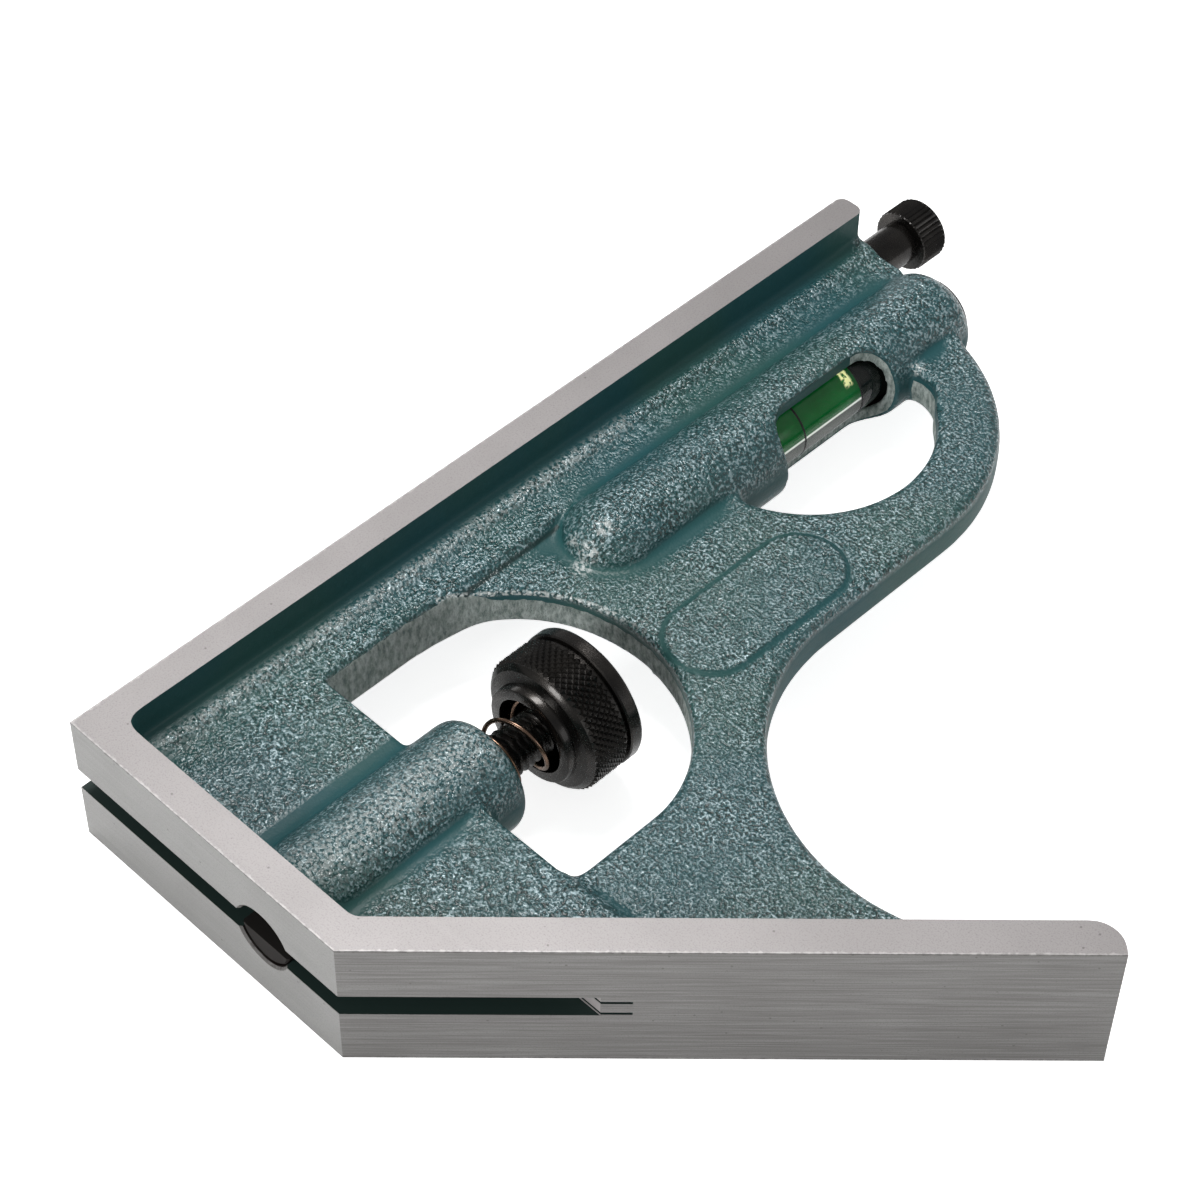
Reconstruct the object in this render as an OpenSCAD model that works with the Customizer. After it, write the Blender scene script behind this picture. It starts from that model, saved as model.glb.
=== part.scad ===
// Combination square head lying on its side: a cast body with a 90 degree face,
// a 45 degree face and a rule slot, a hook clamp with its nut and spring,
// a spirit level in a barrel and a scriber held in the long limb.
// Sizes are written from the corner of the two square faces: X runs along the
// slotted base face, Y along the 90 degree face and Z up from the lower side.

/* [Limbs] */
// Thickness of the head, between its two ground side faces
head_t = 20; // [19:0.5:22]
// Length of the slotted base face
base_l = 44.7; // [43:0.1:48]
// Length of the 45 degree face
mitre_l = 84.8; // [82:0.2:92]
// Length of the 90 degree face
square_l = 131; // [128:0.5:136]
// Width of the limb behind the 90 degree face
square_limb_w = 4; // [3:0.1:4.8]
// Width of the limb behind the base face
base_limb_w = 4.5; // [3.5:0.1:6]
// Width of the limb behind the 45 degree face
mitre_limb_w = 4.6; // [3.6:0.1:5.6]
// Fillet in the inner corner of the square and base limbs
square_fillet_r = 2.5; // [1:0.1:3.5]
// Fillet in the inner corner of the base and mitre limbs
mitre_fillet_r = 1.2; // [0.5:0.1:2.5]
// Rounding on the inner side of the mitre limb's end
mitre_end_r = 3.6; // [2:0.1:3.9]
// Rounding of the square limb's end corners
square_end_r = 1.2; // [0.4:0.1:1.8]
// Rounding of the sharp tip of the mitre limb
tip_r = 0.4; // [0.2:0.1:0.8]

/* [Web] */
// Thickness of the web
web_t = 6; // [5:0.1:7.5]
// Thickness of the raised land around the slot and beside the scriber
land_t = 8.4; // [8:0.1:10]
// Depth of the slot land, from the base face
slot_land_w = 27.9; // [26:0.1:30]
// Width of the scriber land, from the 90 degree face
scriber_land_w = 11.4; // [10.5:0.1:12]
// Width of the sloping riser from a land down to the web
riser_run = 2.2; // [1:0.1:3]
// Fillet between the web and the mitre limb
limb_fillet_r = 1.8; // [0.8:0.1:2.4]
// Radius of the hollow in the web's outer edge
bay_r = 28; // [26:0.2:29]
// Centre of that hollow along the base
bay_x = 73.8; // [73:0.1:76]
// Centre of that hollow away from the base
bay_y = 78.4; // [77.5:0.1:80]
// Radius of the rounded far end of the web
lobe_r = 28.2; // [26:0.2:30]
// Centre of that rounding away from the base
lobe_y = 100.4; // [98:0.2:102]
// Width of the raised pad on the web
pad_w = 11.8; // [8:0.2:13]
// Length of the raised pad
pad_l = 27.6; // [20:0.2:30]
// Height of the raised pad above the web
pad_h = 0.3; // [0.2:0.1:0.6]
// Centre of the pad, from the 90 degree face
pad_x = 38; // [36:0.5:38.5]
// Centre of the pad, from the base face
pad_y = 73.8; // [72:0.2:75]

/* [Windows] */
// Centre of the clamp window, from the 90 degree face
window_x = 31.6; // [31:0.1:32.4]
// Half width of the clamp window
window_a = 20.2; // [18.5:0.1:20.4]
// Height from the base face at which its crown begins
window_y = 42; // [40:0.5:43]
// Rise of its crown
window_b = 18.4; // [17.5:0.1:19]
// Fullness of the crown on the scriber side, where 2 is an ellipse
crown_left = 2.15; // [1.9:0.05:2.5]
// Fullness of the crown on the mitre side
crown_right = 1.88; // [1.8:0.02:2.2]
// Fillet in the window's corner nearest the mitre limb
window_r = 2.5; // [1:0.1:4]
// Radius of the sight window beside the level
sight_r = 17.15; // [16:0.05:18]
// Centre of the sight window, from the 90 degree face
sight_x = 19.9; // [19:0.1:20.5]
// Centre of the sight window, from the base face
sight_y = 102.1; // [101:0.1:103]
// Radius of its rounded far corner
sight_end_r = 4.4; // [3:0.1:5]

/* [Rule slot] */
// Width of the slot
slot_w = 3.3; // [2.6:0.1:3.8]
// Depth of the slot to the rule's seat
slot_d = 20.2; // [18:0.1:21]
// Width of the relief cuts beside the seat
relief_w = 0.42; // [0.3:0.02:0.6]
// Depth of the relief cuts past the seat
relief_d = 2.5; // [1:0.1:3]
// Distance between the two relief cuts
relief_gap = 2; // [1.6:0.1:2.4]

/* [Clamp] */
// Clamp axis, from the 90 degree face
clamp_x = 32; // [31:0.1:33]
// Radius of the clamp barrel
clamp_barrel_r = 7.5; // [7:0.1:8.5]
// End of the clamp barrel, from the base face
clamp_barrel_end = 34.8; // [34:0.1:36.5]
// Rounding of the clamp barrel's end
clamp_barrel_edge = 2.2; // [1:0.1:2.5]
// Radius of the hook end of the bolt
hook_r = 3.95; // [3.6:0.05:4.1]
// Length of the hook end
hook_l = 13.6; // [12:0.1:14]
// Thickness of the hook's lip
lip_t = 2.4; // [1.5:0.1:3]
// Height of the hook's lip above its flat
lip_h = 0.9; // [0.5:0.1:1.2]
// Depth of the hook's face below the base face
hook_setback = 0.4; // [0.2:0.1:1]
// Travel of the hook from rest to fully drawn in
hook_draw = 7; // [6:0.5:7]
// Radius of the threaded stem
stem_r = 3; // [2.5:0.1:3.2]
// Length of the bolt
bolt_l = 49.6; // [48.5:0.1:50]
// Radial clearance of the hook and the stem in the head
bolt_clear = 0.15; // [0.1:0.05:0.2]
// Chamfer at the mouth of the clamp bore
bore_chamfer = 0.35; // [0.2:0.05:0.8]

/* [Nut and spring] */
// Gap between the clamp barrel and the nut's collar
nut_gap = 6.6; // [4:0.1:7]
// Length of the nut
nut_l = 10.5; // [10:0.1:11]
// Radius of the nut over its knurl
nut_r = 9.2; // [8.5:0.1:9.5]
// Radius of the nut's collar
collar_r = 6.6; // [6.2:0.1:7]
// Length of the collar
collar_l = 1.3; // [1:0.1:1.6]
// Width of the knurled band
knurl_w = 5.2; // [4:0.1:5.5]
// Diamonds round the knurled band
knurl_n = 56; // [40:1:64]
// Depth of the knurl
knurl_d = 0.35; // [0.2:0.05:0.5]
// Radius of the spring's recess
recess_r = 5.1; // [4.9:0.1:5.6]
// Depth of the spring's recess
recess_d = 5.1; // [4:0.1:6]
// Radial running clearance of the nut's thread
thread_clear = 0.05; // [0.02:0.01:0.08]
// Wire diameter of the spring
wire_d = 0.6; // [0.4:0.05:0.7]
// Outside diameter of the spring
spring_od = 8.8; // [8.4:0.1:9.4]
// Open turns of the spring
spring_turns = 2; // [2:1:4]

/* [Level] */
// Axis of the level, from the 90 degree face
level_x = 17.4; // [17:0.1:18]
// Radius of the level's barrel
level_r = 7; // [6.6:0.1:7.4]
// Tip of the barrel's domed end, from the base face
level_start = 62.5; // [61.5:0.1:66]
// Far end of the barrel, from the base face
level_end = 131.8; // [130:0.1:137]
// Rounding of the barrel's far end
level_edge = 3; // [1:0.1:3]
// Radius of the bore that holds the vial
vial_bore_r = 5; // [4.8:0.1:5.4]
// Radius of the glass vial
vial_r = 4.5; // [4:0.1:4.6]
// Length of the glass vial
vial_l = 40; // [36:0.5:41]
// Wall of the glass vial
vial_wall = 0.9; // [0.6:0.1:1.2]
// Length of the opening cut in the barrel
opening_l = 20.6; // [18:0.2:22]
// Middle of that opening, from the base face
opening_y = 105.3; // [104:0.1:106]
// Distance of its cut faces from the level's axis
opening_x = 1.9; // [1.5:0.1:2.4]
// Rounding of its ends
opening_r = 4; // [2:0.1:4.5]
// Length of the plaster that sets each end of the vial
plaster_l = 7; // [4:0.5:8]
// Length of the plug that closes the bore
plug_l = 5.5; // [4:0.5:6]
// Length of the air bubble
bubble_l = 9; // [7:0.5:12]
// Radial gap between a set piece and its bore
set_clear = 0.02; // [0.01:0.01:0.05]

/* [Scriber] */
// Axis of the scriber, from the 90 degree face
scriber_x = 4.6; // [4.6:0.1:5]
// Radius of the boss around the scriber
scriber_boss_r = 5.2; // [5:0.1:5.6]
// Radius of the scriber's shank
shank_r = 2.95; // [2.6:0.05:2.95]
// Length of the shank
shank_l = 30; // [26:0.5:32]
// Length of shank showing between the head and the knob
shank_gap = 7.9; // [5:0.1:9]
// Radial running clearance of the shank
shank_clear = 0.05; // [0.03:0.01:0.08]
// Radius of the knob
knob_r = 4.4; // [4:0.1:4.8]
// Length of the knob
knob_l = 4.5; // [4:0.1:6]
// Ridges round the knob
knob_n = 36; // [24:1:40]
// Radius of the scriber's needle
needle_r = 1.25; // [1:0.05:1.5]
// Length of the needle that stands out of the shank
needle_l = 49; // [45:0.5:52]
// Length of the needle's point
point_l = 7; // [4:0.5:10]
// Length of the bushing that guides the needle
bushing_l = 8; // [5:0.5:10]

/* [Hidden] */
$fn = 64;

paint = "#3f6a6e";
black_oxide = "#25221f";
spring_wire = "#b08a70";
needle_steel = "#9a9a98";
brass = "#b5903f";
glass_green = "#4f9a62";
liquid_green = "#1f6a2a";
plaster = "#d8d4c8";
plug_steel = "#6d6f70";

mid = head_t / 2;
web_low = mid - web_t / 2;
past = 1;
slope = cos(45);
mitre_inner = base_l - mitre_limb_w / slope;
tip_x = base_l + mitre_l * slope;
part_x = (tip_x - tip_r * (sqrt(2) - 1)) / 2;
part_y = (square_l + shank_gap + knob_l) / 2;

web_side = bay_x - bay_r;
lobe_x = web_side - lobe_r;
bay_tail = 54;
tail_run = 5;

hook_bore_end = hook_setback + hook_l + hook_draw + 2.5;
hook_flat = mid - slot_w / 2 - 0.05;
stem_bore_r = stem_r + bolt_clear;
nut_y = clamp_barrel_end + nut_gap;
knurl_y = nut_y + collar_l + 0.9;
knurl_core_r = nut_r - knurl_d - 0.5;
spring_y = clamp_barrel_end + 0.1;
spring_l = nut_gap + recess_d - 0.2;

dome_y = level_start + level_r;
vial_y = opening_y - vial_l / 2;
set_gap = 1.2;
bore_start = vial_y - set_gap;
bubble_r = (vial_r - vial_wall) * 0.62;
bubble_y = opening_y + opening_l / 2 - bubble_l * 0.62;

bore_r = shank_r + shank_clear;
knob_y = square_l + shank_gap;
shank_y = knob_y - shank_l;
bushing_y = shank_y - shank_gap - bushing_l - 0.5;
point_y = shank_y - needle_l;
needle_seat = 10;
needle_clear = 0.03;
needle_bore_r = needle_r + 0.4;

// Points of an arc about [cx, cy] from angle a0 to a1
function arc(cx, cy, r, a0, a1, n = 12) =
    [for (i = [0:n]) let (a = a0 + (a1 - a0) * i / n) [cx + r * cos(a), cy + r * sin(a)]];

function unit(v) = v / norm(v);

// Arc that rounds the corner at b, on the way from a to c
function corner(a, b, c, r, n = 6) =
    let (u = unit(a - b), v = unit(c - b), half = acos(u * v) / 2,
         centre = b + unit(u + v) * r / sin(half),
         p = b + u * r / tan(half) - centre, q = b + v * r / tan(half) - centre,
         a0 = atan2(p.y, p.x), a1 = atan2(q.y, q.x),
         turn = a1 - a0 > 180 ? a1 - a0 - 360 : a1 - a0 < -180 ? a1 - a0 + 360 : a1 - a0)
    arc(centre.x, centre.y, r, a0, a0 + turn, n);

// Outline through pts with each corner rounded by its radius, or sharp at 0
function rounded(pts, radii) =
    let (n = len(pts))
    [for (i = [0:n - 1])
        each (radii[i] > 0 ? corner(pts[(i + n - 1) % n], pts[i], pts[(i + 1) % n], radii[i]) : [pts[i]])];

// Triangles of a closed skin of rows rings with n points each
function skin(n, rows) =
    [for (j = [0:rows - 2], i = [0:n - 1])
        let (a = j * n + i, b = j * n + (i + 1) % n, c = a + n, d = b + n)
        each ((i + j) % 2 == 0 ? [[a, c, b], [b, c, d]] : [[a, c, d], [a, d, b]])];
function caps(n, rows) = [[for (i = [0:n - 1]) i], [for (i = [0:n - 1]) n * rows - 1 - i]];

module placed() {
    translate([-part_x, -part_y, 0]) children();
}

// Stands a shape made round Z along Y, at x and from y
module along_y(x, y) {
    translate([x, y, mid]) rotate([-90, 0, 0]) children();
}

// Extrudes a [y, z] section from x0 to x1
module section_x(x0, x1) {
    translate([x0, 0, 0]) rotate([90, 0, 90]) linear_extrude(x1 - x0) children();
}

module rod(x, y0, y1, r) {
    along_y(x, y0) cylinder(h = y1 - y0, r = r);
}

module limbs() {
    end_c = [base_l + mitre_l * slope, mitre_l * slope];
    end_d = end_c + [-mitre_limb_w * slope, mitre_limb_w * slope];
    pts = [[0, square_l], [0, 0], [base_l, 0], end_c, end_d,
           [mitre_inner + base_limb_w, base_limb_w],
           [square_limb_w, base_limb_w], [square_limb_w, square_l]];
    radii = [square_end_r, 0, 0, tip_r, mitre_end_r, mitre_fillet_r, square_fillet_r, square_end_r];
    linear_extrude(head_t) polygon(rounded(pts, radii));
}

// Slab of the web before its windows are cut
module web() {
    tail = [bay_x + bay_r * cos(bay_tail), bay_y - bay_r * sin(bay_tail)];
    gap = (mitre_inner - tail.x + tail.y) * slope;
    in = mitre_limb_w / 2;
    foot = tail + [tail_run + gap, tail_run - gap] * slope * (1 + in / gap);
    far = min(square_l, level_end - level_edge) - past;
    outline = concat(
        [[square_limb_w / 2, base_limb_w / 2], [mitre_inner + base_limb_w / 2 + in, base_limb_w / 2],
         foot],
        arc(bay_x, bay_y, bay_r, -bay_tail, -180, 30),
        arc(lobe_x, lobe_y, lobe_r, 0, 75, 18),
        [[level_x, far], [square_limb_w / 2, far]]);
    translate([0, 0, web_low]) linear_extrude(web_t) polygon(outline);
}

// Raised L-shaped land on both sides of the web
module land() {
    outer = mitre_inner + mitre_limb_w / 2;
    pts = [[square_limb_w / 2, base_limb_w / 2], [outer + base_limb_w / 2, base_limb_w / 2],
           [outer + slot_land_w, slot_land_w], [scriber_land_w, slot_land_w],
           [scriber_land_w, square_l], [square_limb_w / 2, square_l]];
    translate([0, 0, mid - land_t / 2]) linear_extrude(land_t) polygon(pts);
}

// Section of a riser: its foot lies riser_run away from the land's edge
module riser_section() {
    step = (land_t - web_t) / 2;
    sweep = 2 * atan(step / riser_run);
    r = riser_run / sin(sweep);
    top = concat([[-past, land_t / 2]],
                 arc(riser_run, web_t / 2 + r, r, 270 - sweep, 270, 6),
                 [[riser_run, web_t / 2 - past]]);
    polygon(concat(top, [for (i = [len(top) - 1:-1:0]) [top[i].x, -top[i].y]]));
}

module risers() {
    x0 = window_x + window_a - past;
    x1 = mitre_inner + slot_land_w + mitre_limb_w / 2;
    translate([0, slot_land_w, mid]) section_x(x0, x1) riser_section();
    translate([scriber_land_w, window_y, mid])
        rotate([-90, 0, 0]) linear_extrude(square_l - window_y) riser_section();
}

// Concave fillet between the web and the mitre limb, on both sides
module mitre_fillet() {
    r = limb_fillet_r;
    s = web_t / 2;
    start = slot_land_w / slope;
    stop = (bay_x + bay_r * cos(bay_tail) - base_l + bay_y - bay_r * sin(bay_tail)) * slope;
    top = concat([[-past, s + r]], arc(r, s + r, r, 180, 270, 6), [[r, s - past]]);
    section = concat(top, [for (i = [len(top) - 1:-1:0]) [top[i].x, -top[i].y]]);
    translate([base_l, 0, mid]) rotate([0, 0, 45]) translate([0, mitre_limb_w, 0])
        section_x(start, stop) polygon(section);
}

function crown(a0, a1, full, n = 14) =
    [for (i = [0:n]) let (a = a0 + (a1 - a0) * i / n)
        [window_x + sign(cos(a)) * window_a * pow(abs(cos(a)), 2 / full),
         window_y + window_b * pow(sin(a), 2 / full)]];

module clamp_window() {
    x0 = window_x - window_a;
    x1 = window_x + window_a;
    near = concat([[x0, slot_land_w]], corner([x0, slot_land_w], [x1, slot_land_w], [x1, window_y], window_r));
    translate([0, 0, -past]) linear_extrude(head_t + 2 * past)
        polygon(concat(near, crown(0, 90, crown_right), crown(96, 180, crown_left)));
}

module sight_window() {
    far = [sight_x + (sight_r - sight_end_r) * 0.5, sight_y + (sight_r - sight_end_r) * 0.5 * sqrt(3) + past];
    translate([0, 0, -past]) linear_extrude(head_t + 2 * past) {
        intersection() {
            translate([sight_x, sight_y]) circle(r = sight_r);
            translate([level_x, sight_y - sight_r]) square([2 * sight_r, 2 * sight_r]);
        }
        translate(far) circle(r = sight_end_r);
    }
}

module pad() {
    span = (pad_l - pad_w) / 2;
    translate([pad_x, pad_y, mid - web_t / 2 - pad_h]) linear_extrude(web_t + 2 * pad_h)
        polygon(concat(arc(0, span, pad_w / 2, 0, 180, 16), arc(0, -span, pad_w / 2, 180, 360, 16)));
}

// Round bar with a rounded end edge at its top
module round_end(r, l, edge) {
    rotate_extrude() polygon(concat([[0, 0], [r, 0]], arc(r - edge, l - edge, edge, 0, 90, 6), [[0, l]]));
}

module level_barrel() {
    l = level_end - dome_y;
    dome = arc(0, 0, level_r, -90, 0, 10);
    along_y(level_x, dome_y) rotate_extrude()
        polygon(concat(dome, arc(level_r - level_edge, l - level_edge, level_edge, 0, 90, 6), [[0, l]]));
}

// Swelling of the land around the scriber, kept behind the 90 degree face
module scriber_boss() {
    intersection() {
        rod(scriber_x, base_limb_w / 2, square_l, scriber_boss_r);
        translate([square_limb_w / 2, 0, 0]) cube([2 * scriber_boss_r, square_l, head_t]);
    }
}

// Relief cuts and the slot that takes the rule
module slot() {
    length = tip_x;
    translate([-past, -past, mid - slot_w / 2]) cube([length, slot_d + past, slot_w]);
    for (z = [relief_gap / 2, -relief_gap / 2])
        translate([-past, slot_d - past, mid - 0.3 + z - relief_w / 2])
            cube([length, past + relief_d, relief_w]);
}

module clamp_bore() {
    r = hook_r + bolt_clear;
    rod(clamp_x, -past, hook_bore_end, r);
    rod(clamp_x, 0, clamp_barrel_end + past, stem_bore_r);
    along_y(clamp_x, -past) cylinder(h = past + bore_chamfer, r1 = r + bore_chamfer + past, r2 = r);
}

module level_bore() {
    rod(level_x, bore_start, level_end + past, vial_bore_r);
    x0 = level_x + opening_x;
    y0 = opening_y - opening_l / 2;
    y1 = opening_y + opening_l / 2;
    x1 = level_x + level_r + past;
    cut = rounded([[x0, y0], [x1, y0], [x1, y1], [x0, y1]], [opening_r, 0, 0, opening_r]);
    translate([0, 0, -past]) linear_extrude(head_t + 2 * past) polygon(cut);
}

module scriber_bore() {
    rod(scriber_x, bushing_y, square_l + past, bore_r);
    rod(scriber_x, point_y - shank_gap - 1, bushing_y + past, needle_bore_r);
}

module head_casting() {
    placed() color(paint) difference() {
        union() {
            difference() {
                union() {
                    limbs();
                    web();
                    land();
                    risers();
                    mitre_fillet();
                    pad();
                }
                clamp_window();
                sight_window();
            }
            scriber_boss();
            along_y(clamp_x, base_limb_w / 2)
                round_end(clamp_barrel_r, clamp_barrel_end - base_limb_w / 2, clamp_barrel_edge);
            level_barrel();
        }
        slot();
        clamp_bore();
        level_bore();
        scriber_bore();
    }
}

module clamp_bolt() {
    hook_end = hook_setback + hook_l;
    r = hook_r + past;
    placed() color(black_oxide) {
        difference() {
            rod(clamp_x, hook_setback, hook_end, hook_r);
            translate([clamp_x - r, hook_setback + lip_t, hook_flat]) cube([2 * r, hook_l, 2 * r]);
            translate([clamp_x - r, hook_setback - past, hook_flat + lip_h]) cube([2 * r, lip_t + 2 * past, 2 * r]);
        }
        rod(clamp_x, hook_end - past, hook_setback + bolt_l, stem_r);
    }
}

// Band of pyramids round Z: every second point of the grid is a peak, and the
// band's two edges fall away to the radius edge_r
module knurl(r, w, n, depth, edge_r) {
    rows = 2 * round(w * n / (2 * PI * r)) + 1;
    cols = 2 * n;
    grid = [for (j = [0:rows - 1], i = [0:cols - 1])
        let (q = j == 0 || j == rows - 1 ? edge_r : (i + j) % 2 == 0 ? r : r - depth)
        [q * cos(180 * i / n), q * sin(180 * i / n), w * j / (rows - 1)]];
    polyhedron(grid, concat(skin(cols, rows), caps(cols, rows)));
}

module nut_profile() {
    rim = knurl_y - nut_y + knurl_w + 0.3;
    polygon([[0, 0], [collar_r - 0.3, 0], [collar_r, 0.3], [collar_r, collar_l],
             [knurl_core_r - 0.4, collar_l + 0.3], [knurl_core_r, knurl_y - nut_y - 0.2],
             [knurl_core_r, rim], [nut_r - 0.3, rim], [nut_r, rim + 0.3],
             [nut_r, nut_l - 1], [nut_r - 1.5, nut_l], [0, nut_l]]);
}

module clamp_nut() {
    placed() color(black_oxide) difference() {
        union() {
            along_y(clamp_x, nut_y) rotate_extrude() nut_profile();
            along_y(clamp_x, knurl_y) knurl(nut_r, knurl_w, knurl_n, knurl_d, knurl_core_r + 0.2);
        }
        rod(clamp_x, nut_y - past, nut_y + recess_d, recess_r);
        rod(clamp_x, nut_y, nut_y + nut_l + past, stem_r + thread_clear);
    }
}

// Height of the spring's wire after a turn of t
function coil_rise(t) =
    let (open = (spring_l - 3 * wire_d) / spring_turns)
    wire_d / 2 + (t < 1 ? t * wire_d : t < 1 + spring_turns ? wire_d + (t - 1) * open
                  : wire_d + spring_turns * open + (t - 1 - spring_turns) * wire_d);

module clamp_spring() {
    turns = spring_turns + 2;
    steps = 24 * turns;
    sides = 8;
    coil_r = (spring_od - wire_d) / 2;
    grid = [for (j = [0:steps], i = [0:sides - 1])
        let (a = 360 * j / 24, b = 360 * i / sides, q = coil_r - cos(b) * wire_d / 2)
        [q * cos(a), q * sin(a), coil_rise(j / 24) + sin(b) * wire_d / 2]];
    placed() color(spring_wire) along_y(clamp_x, spring_y)
        polyhedron(grid, concat(skin(sides, steps + 1), caps(sides, steps + 1)));
}

module scriber_knob() {
    edge = 0.4;
    root = knob_r - edge;
    teeth = [for (i = [0:2 * knob_n - 1]) let (q = i % 2 == 0 ? knob_r : knob_r - 0.3)
        [q * cos(180 * i / knob_n), q * sin(180 * i / knob_n)]];
    placed() color(black_oxide) difference() {
        union() {
            rod(scriber_x, shank_y, knob_y + past, shank_r);
            along_y(scriber_x, knob_y) rotate_extrude()
                polygon([[0, 0], [root - edge, 0], [root, edge], [root, knob_l - edge],
                         [root - edge, knob_l], [0, knob_l]]);
            along_y(scriber_x, knob_y + edge) linear_extrude(knob_l - 2 * edge) polygon(teeth);
        }
        rod(scriber_x, shank_y - past, shank_y + needle_seat, needle_r);
    }
}

module scriber_needle() {
    l = needle_l + needle_seat;
    placed() color(needle_steel) along_y(scriber_x, point_y) rotate_extrude()
        polygon([[0, 0], [0.1, 0], [needle_r, point_l], [needle_r, l], [0, l]]);
}

module scriber_bushing() {
    placed() color(brass) difference() {
        rod(scriber_x, bushing_y, bushing_y + bushing_l, bore_r - set_clear);
        rod(scriber_x, bushing_y - past, bushing_y + bushing_l + past, needle_r + needle_clear);
    }
}

module vial_tube() {
    inner = vial_r - vial_wall;
    edge = 1.5;
    placed() color(glass_green) along_y(level_x, vial_y) difference() {
        rotate_extrude() polygon(concat(arc(vial_r - edge, edge, edge, -90, 0, 5),
            arc(vial_r - edge, vial_l - edge, edge, 0, 90, 5), [[0, vial_l], [0, 0]]));
        translate([0, 0, edge]) cylinder(h = vial_l - 2 * edge, r = inner);
    }
}

module vial_liquid() {
    inner = vial_r - vial_wall;
    edge = 1.5;
    capsule = concat(arc(0, bubble_r, bubble_r, -90, 0, 6), arc(0, bubble_l - bubble_r, bubble_r, 0, 90, 6));
    placed() color(liquid_green) difference() {
        rod(level_x, vial_y + edge, vial_y + vial_l - edge, inner);
        translate([0, 0, inner - bubble_r]) along_y(level_x, bubble_y) rotate_extrude() polygon(capsule);
    }
}

module plaster_cup() {
    difference() {
        cylinder(h = plaster_l, r = vial_bore_r - set_clear);
        translate([0, 0, set_gap]) cylinder(h = plaster_l, r = vial_r);
    }
}

module vial_plaster_near() {
    placed() color(plaster) along_y(level_x, bore_start) plaster_cup();
}

module vial_plaster_far() {
    placed() color(plaster) along_y(level_x, vial_y + vial_l + set_gap) mirror([0, 0, 1]) plaster_cup();
}

module vial_plug() {
    y0 = vial_y + vial_l + set_gap;
    placed() color(plug_steel) rod(level_x, y0, y0 + plug_l, vial_bore_r - set_clear);
}

head_casting();
clamp_bolt();
clamp_nut();
clamp_spring();
scriber_knob();
scriber_needle();
scriber_bushing();
vial_tube();
vial_liquid();
vial_plaster_near();
vial_plaster_far();
vial_plug();
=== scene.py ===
import bpy
import math
import numpy as np
from mathutils import Matrix, Vector, kdtree


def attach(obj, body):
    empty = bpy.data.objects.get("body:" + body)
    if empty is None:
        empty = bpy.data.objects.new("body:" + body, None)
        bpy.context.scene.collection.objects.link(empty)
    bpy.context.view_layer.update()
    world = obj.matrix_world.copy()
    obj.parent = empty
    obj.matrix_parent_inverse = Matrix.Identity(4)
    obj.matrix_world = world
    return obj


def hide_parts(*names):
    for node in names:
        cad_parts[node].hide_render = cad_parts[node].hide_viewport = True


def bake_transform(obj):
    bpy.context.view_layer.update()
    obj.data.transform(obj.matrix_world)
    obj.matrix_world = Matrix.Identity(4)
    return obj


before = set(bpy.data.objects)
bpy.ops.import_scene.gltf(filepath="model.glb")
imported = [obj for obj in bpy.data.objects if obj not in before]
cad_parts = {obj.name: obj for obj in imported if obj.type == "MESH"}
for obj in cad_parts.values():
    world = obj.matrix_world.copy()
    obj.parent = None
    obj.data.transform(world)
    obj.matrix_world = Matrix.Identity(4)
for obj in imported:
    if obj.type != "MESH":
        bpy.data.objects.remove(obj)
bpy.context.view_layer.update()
bpy.ops.object.select_all(action="DESELECT")

mm = 0.001
cornerAt = Vector((52.248485, 71.7, 0))  # centre of the part, seen from the corner of the two square faces
midZ = 10


# Small helpers

def place(x, y, z=0):
    # Millimetres from the square corner, as metres in the part's frame.
    return (Vector((x, y, z)) - cornerAt) * mm


def only(obj):
    if bpy.context.mode != "OBJECT":
        bpy.ops.object.mode_set(mode="OBJECT")
    bpy.ops.object.select_all(action="DESELECT")
    obj.select_set(True)
    bpy.context.view_layer.objects.active = obj


def editAll(obj):
    only(obj)
    bpy.ops.object.mode_set(mode="EDIT")
    bpy.ops.mesh.select_all(action="SELECT")


def leaveEdit():
    bpy.ops.object.mode_set(mode="OBJECT")


def settle(name):
    # Names the new primitive and moves its place, turn and scale into its mesh.
    obj = bpy.context.object
    obj.name = obj.data.name = name
    bpy.ops.object.transform_apply(location=True, rotation=True, scale=True)
    return obj


def block(name, low, high):
    lo, hi = place(*low), place(*high)
    bpy.ops.object.select_all(action="DESELECT")
    bpy.ops.mesh.primitive_cube_add(size=1, location=(lo + hi) / 2)
    bpy.context.object.scale = hi - lo
    return settle(name)


def bar(name, x, y0, y1, r0, r1=None, sides=96):
    # Round bar along Y.
    bpy.ops.object.select_all(action="DESELECT")
    bpy.ops.mesh.primitive_cone_add(
        vertices=sides, radius1=r0 * mm, radius2=(r0 if r1 is None else r1) * mm,
        depth=(y1 - y0) * mm, location=place(x, (y0 + y1) / 2, midZ), rotation=(-math.pi / 2, 0, 0))
    return settle(name)


def turned(name, x, rows, sides):
    # A solid turned round Y: one loop of sides points for each (y, radius) in rows, with both ends closed.
    bpy.ops.object.select_all(action="DESELECT")
    start, radius = rows[0]
    bpy.ops.mesh.primitive_circle_add(vertices=sides, radius=radius * mm, fill_type="NGON",
                                      location=place(x, start, midZ), rotation=(-math.pi / 2, 0, 0))
    obj = settle(name)
    editAll(obj)
    for y, r in rows[1:]:
        bpy.ops.mesh.extrude_region_move(TRANSFORM_OT_translate={"value": (0, (y - start) * mm, 0)})
        bpy.ops.transform.resize(value=(r / radius, 1, r / radius), center_override=place(x, y, midZ))
        start, radius = y, r
    bpy.ops.mesh.select_all(action="SELECT")
    bpy.ops.mesh.normals_make_consistent(inside=False)
    leaveEdit()
    return obj


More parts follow.
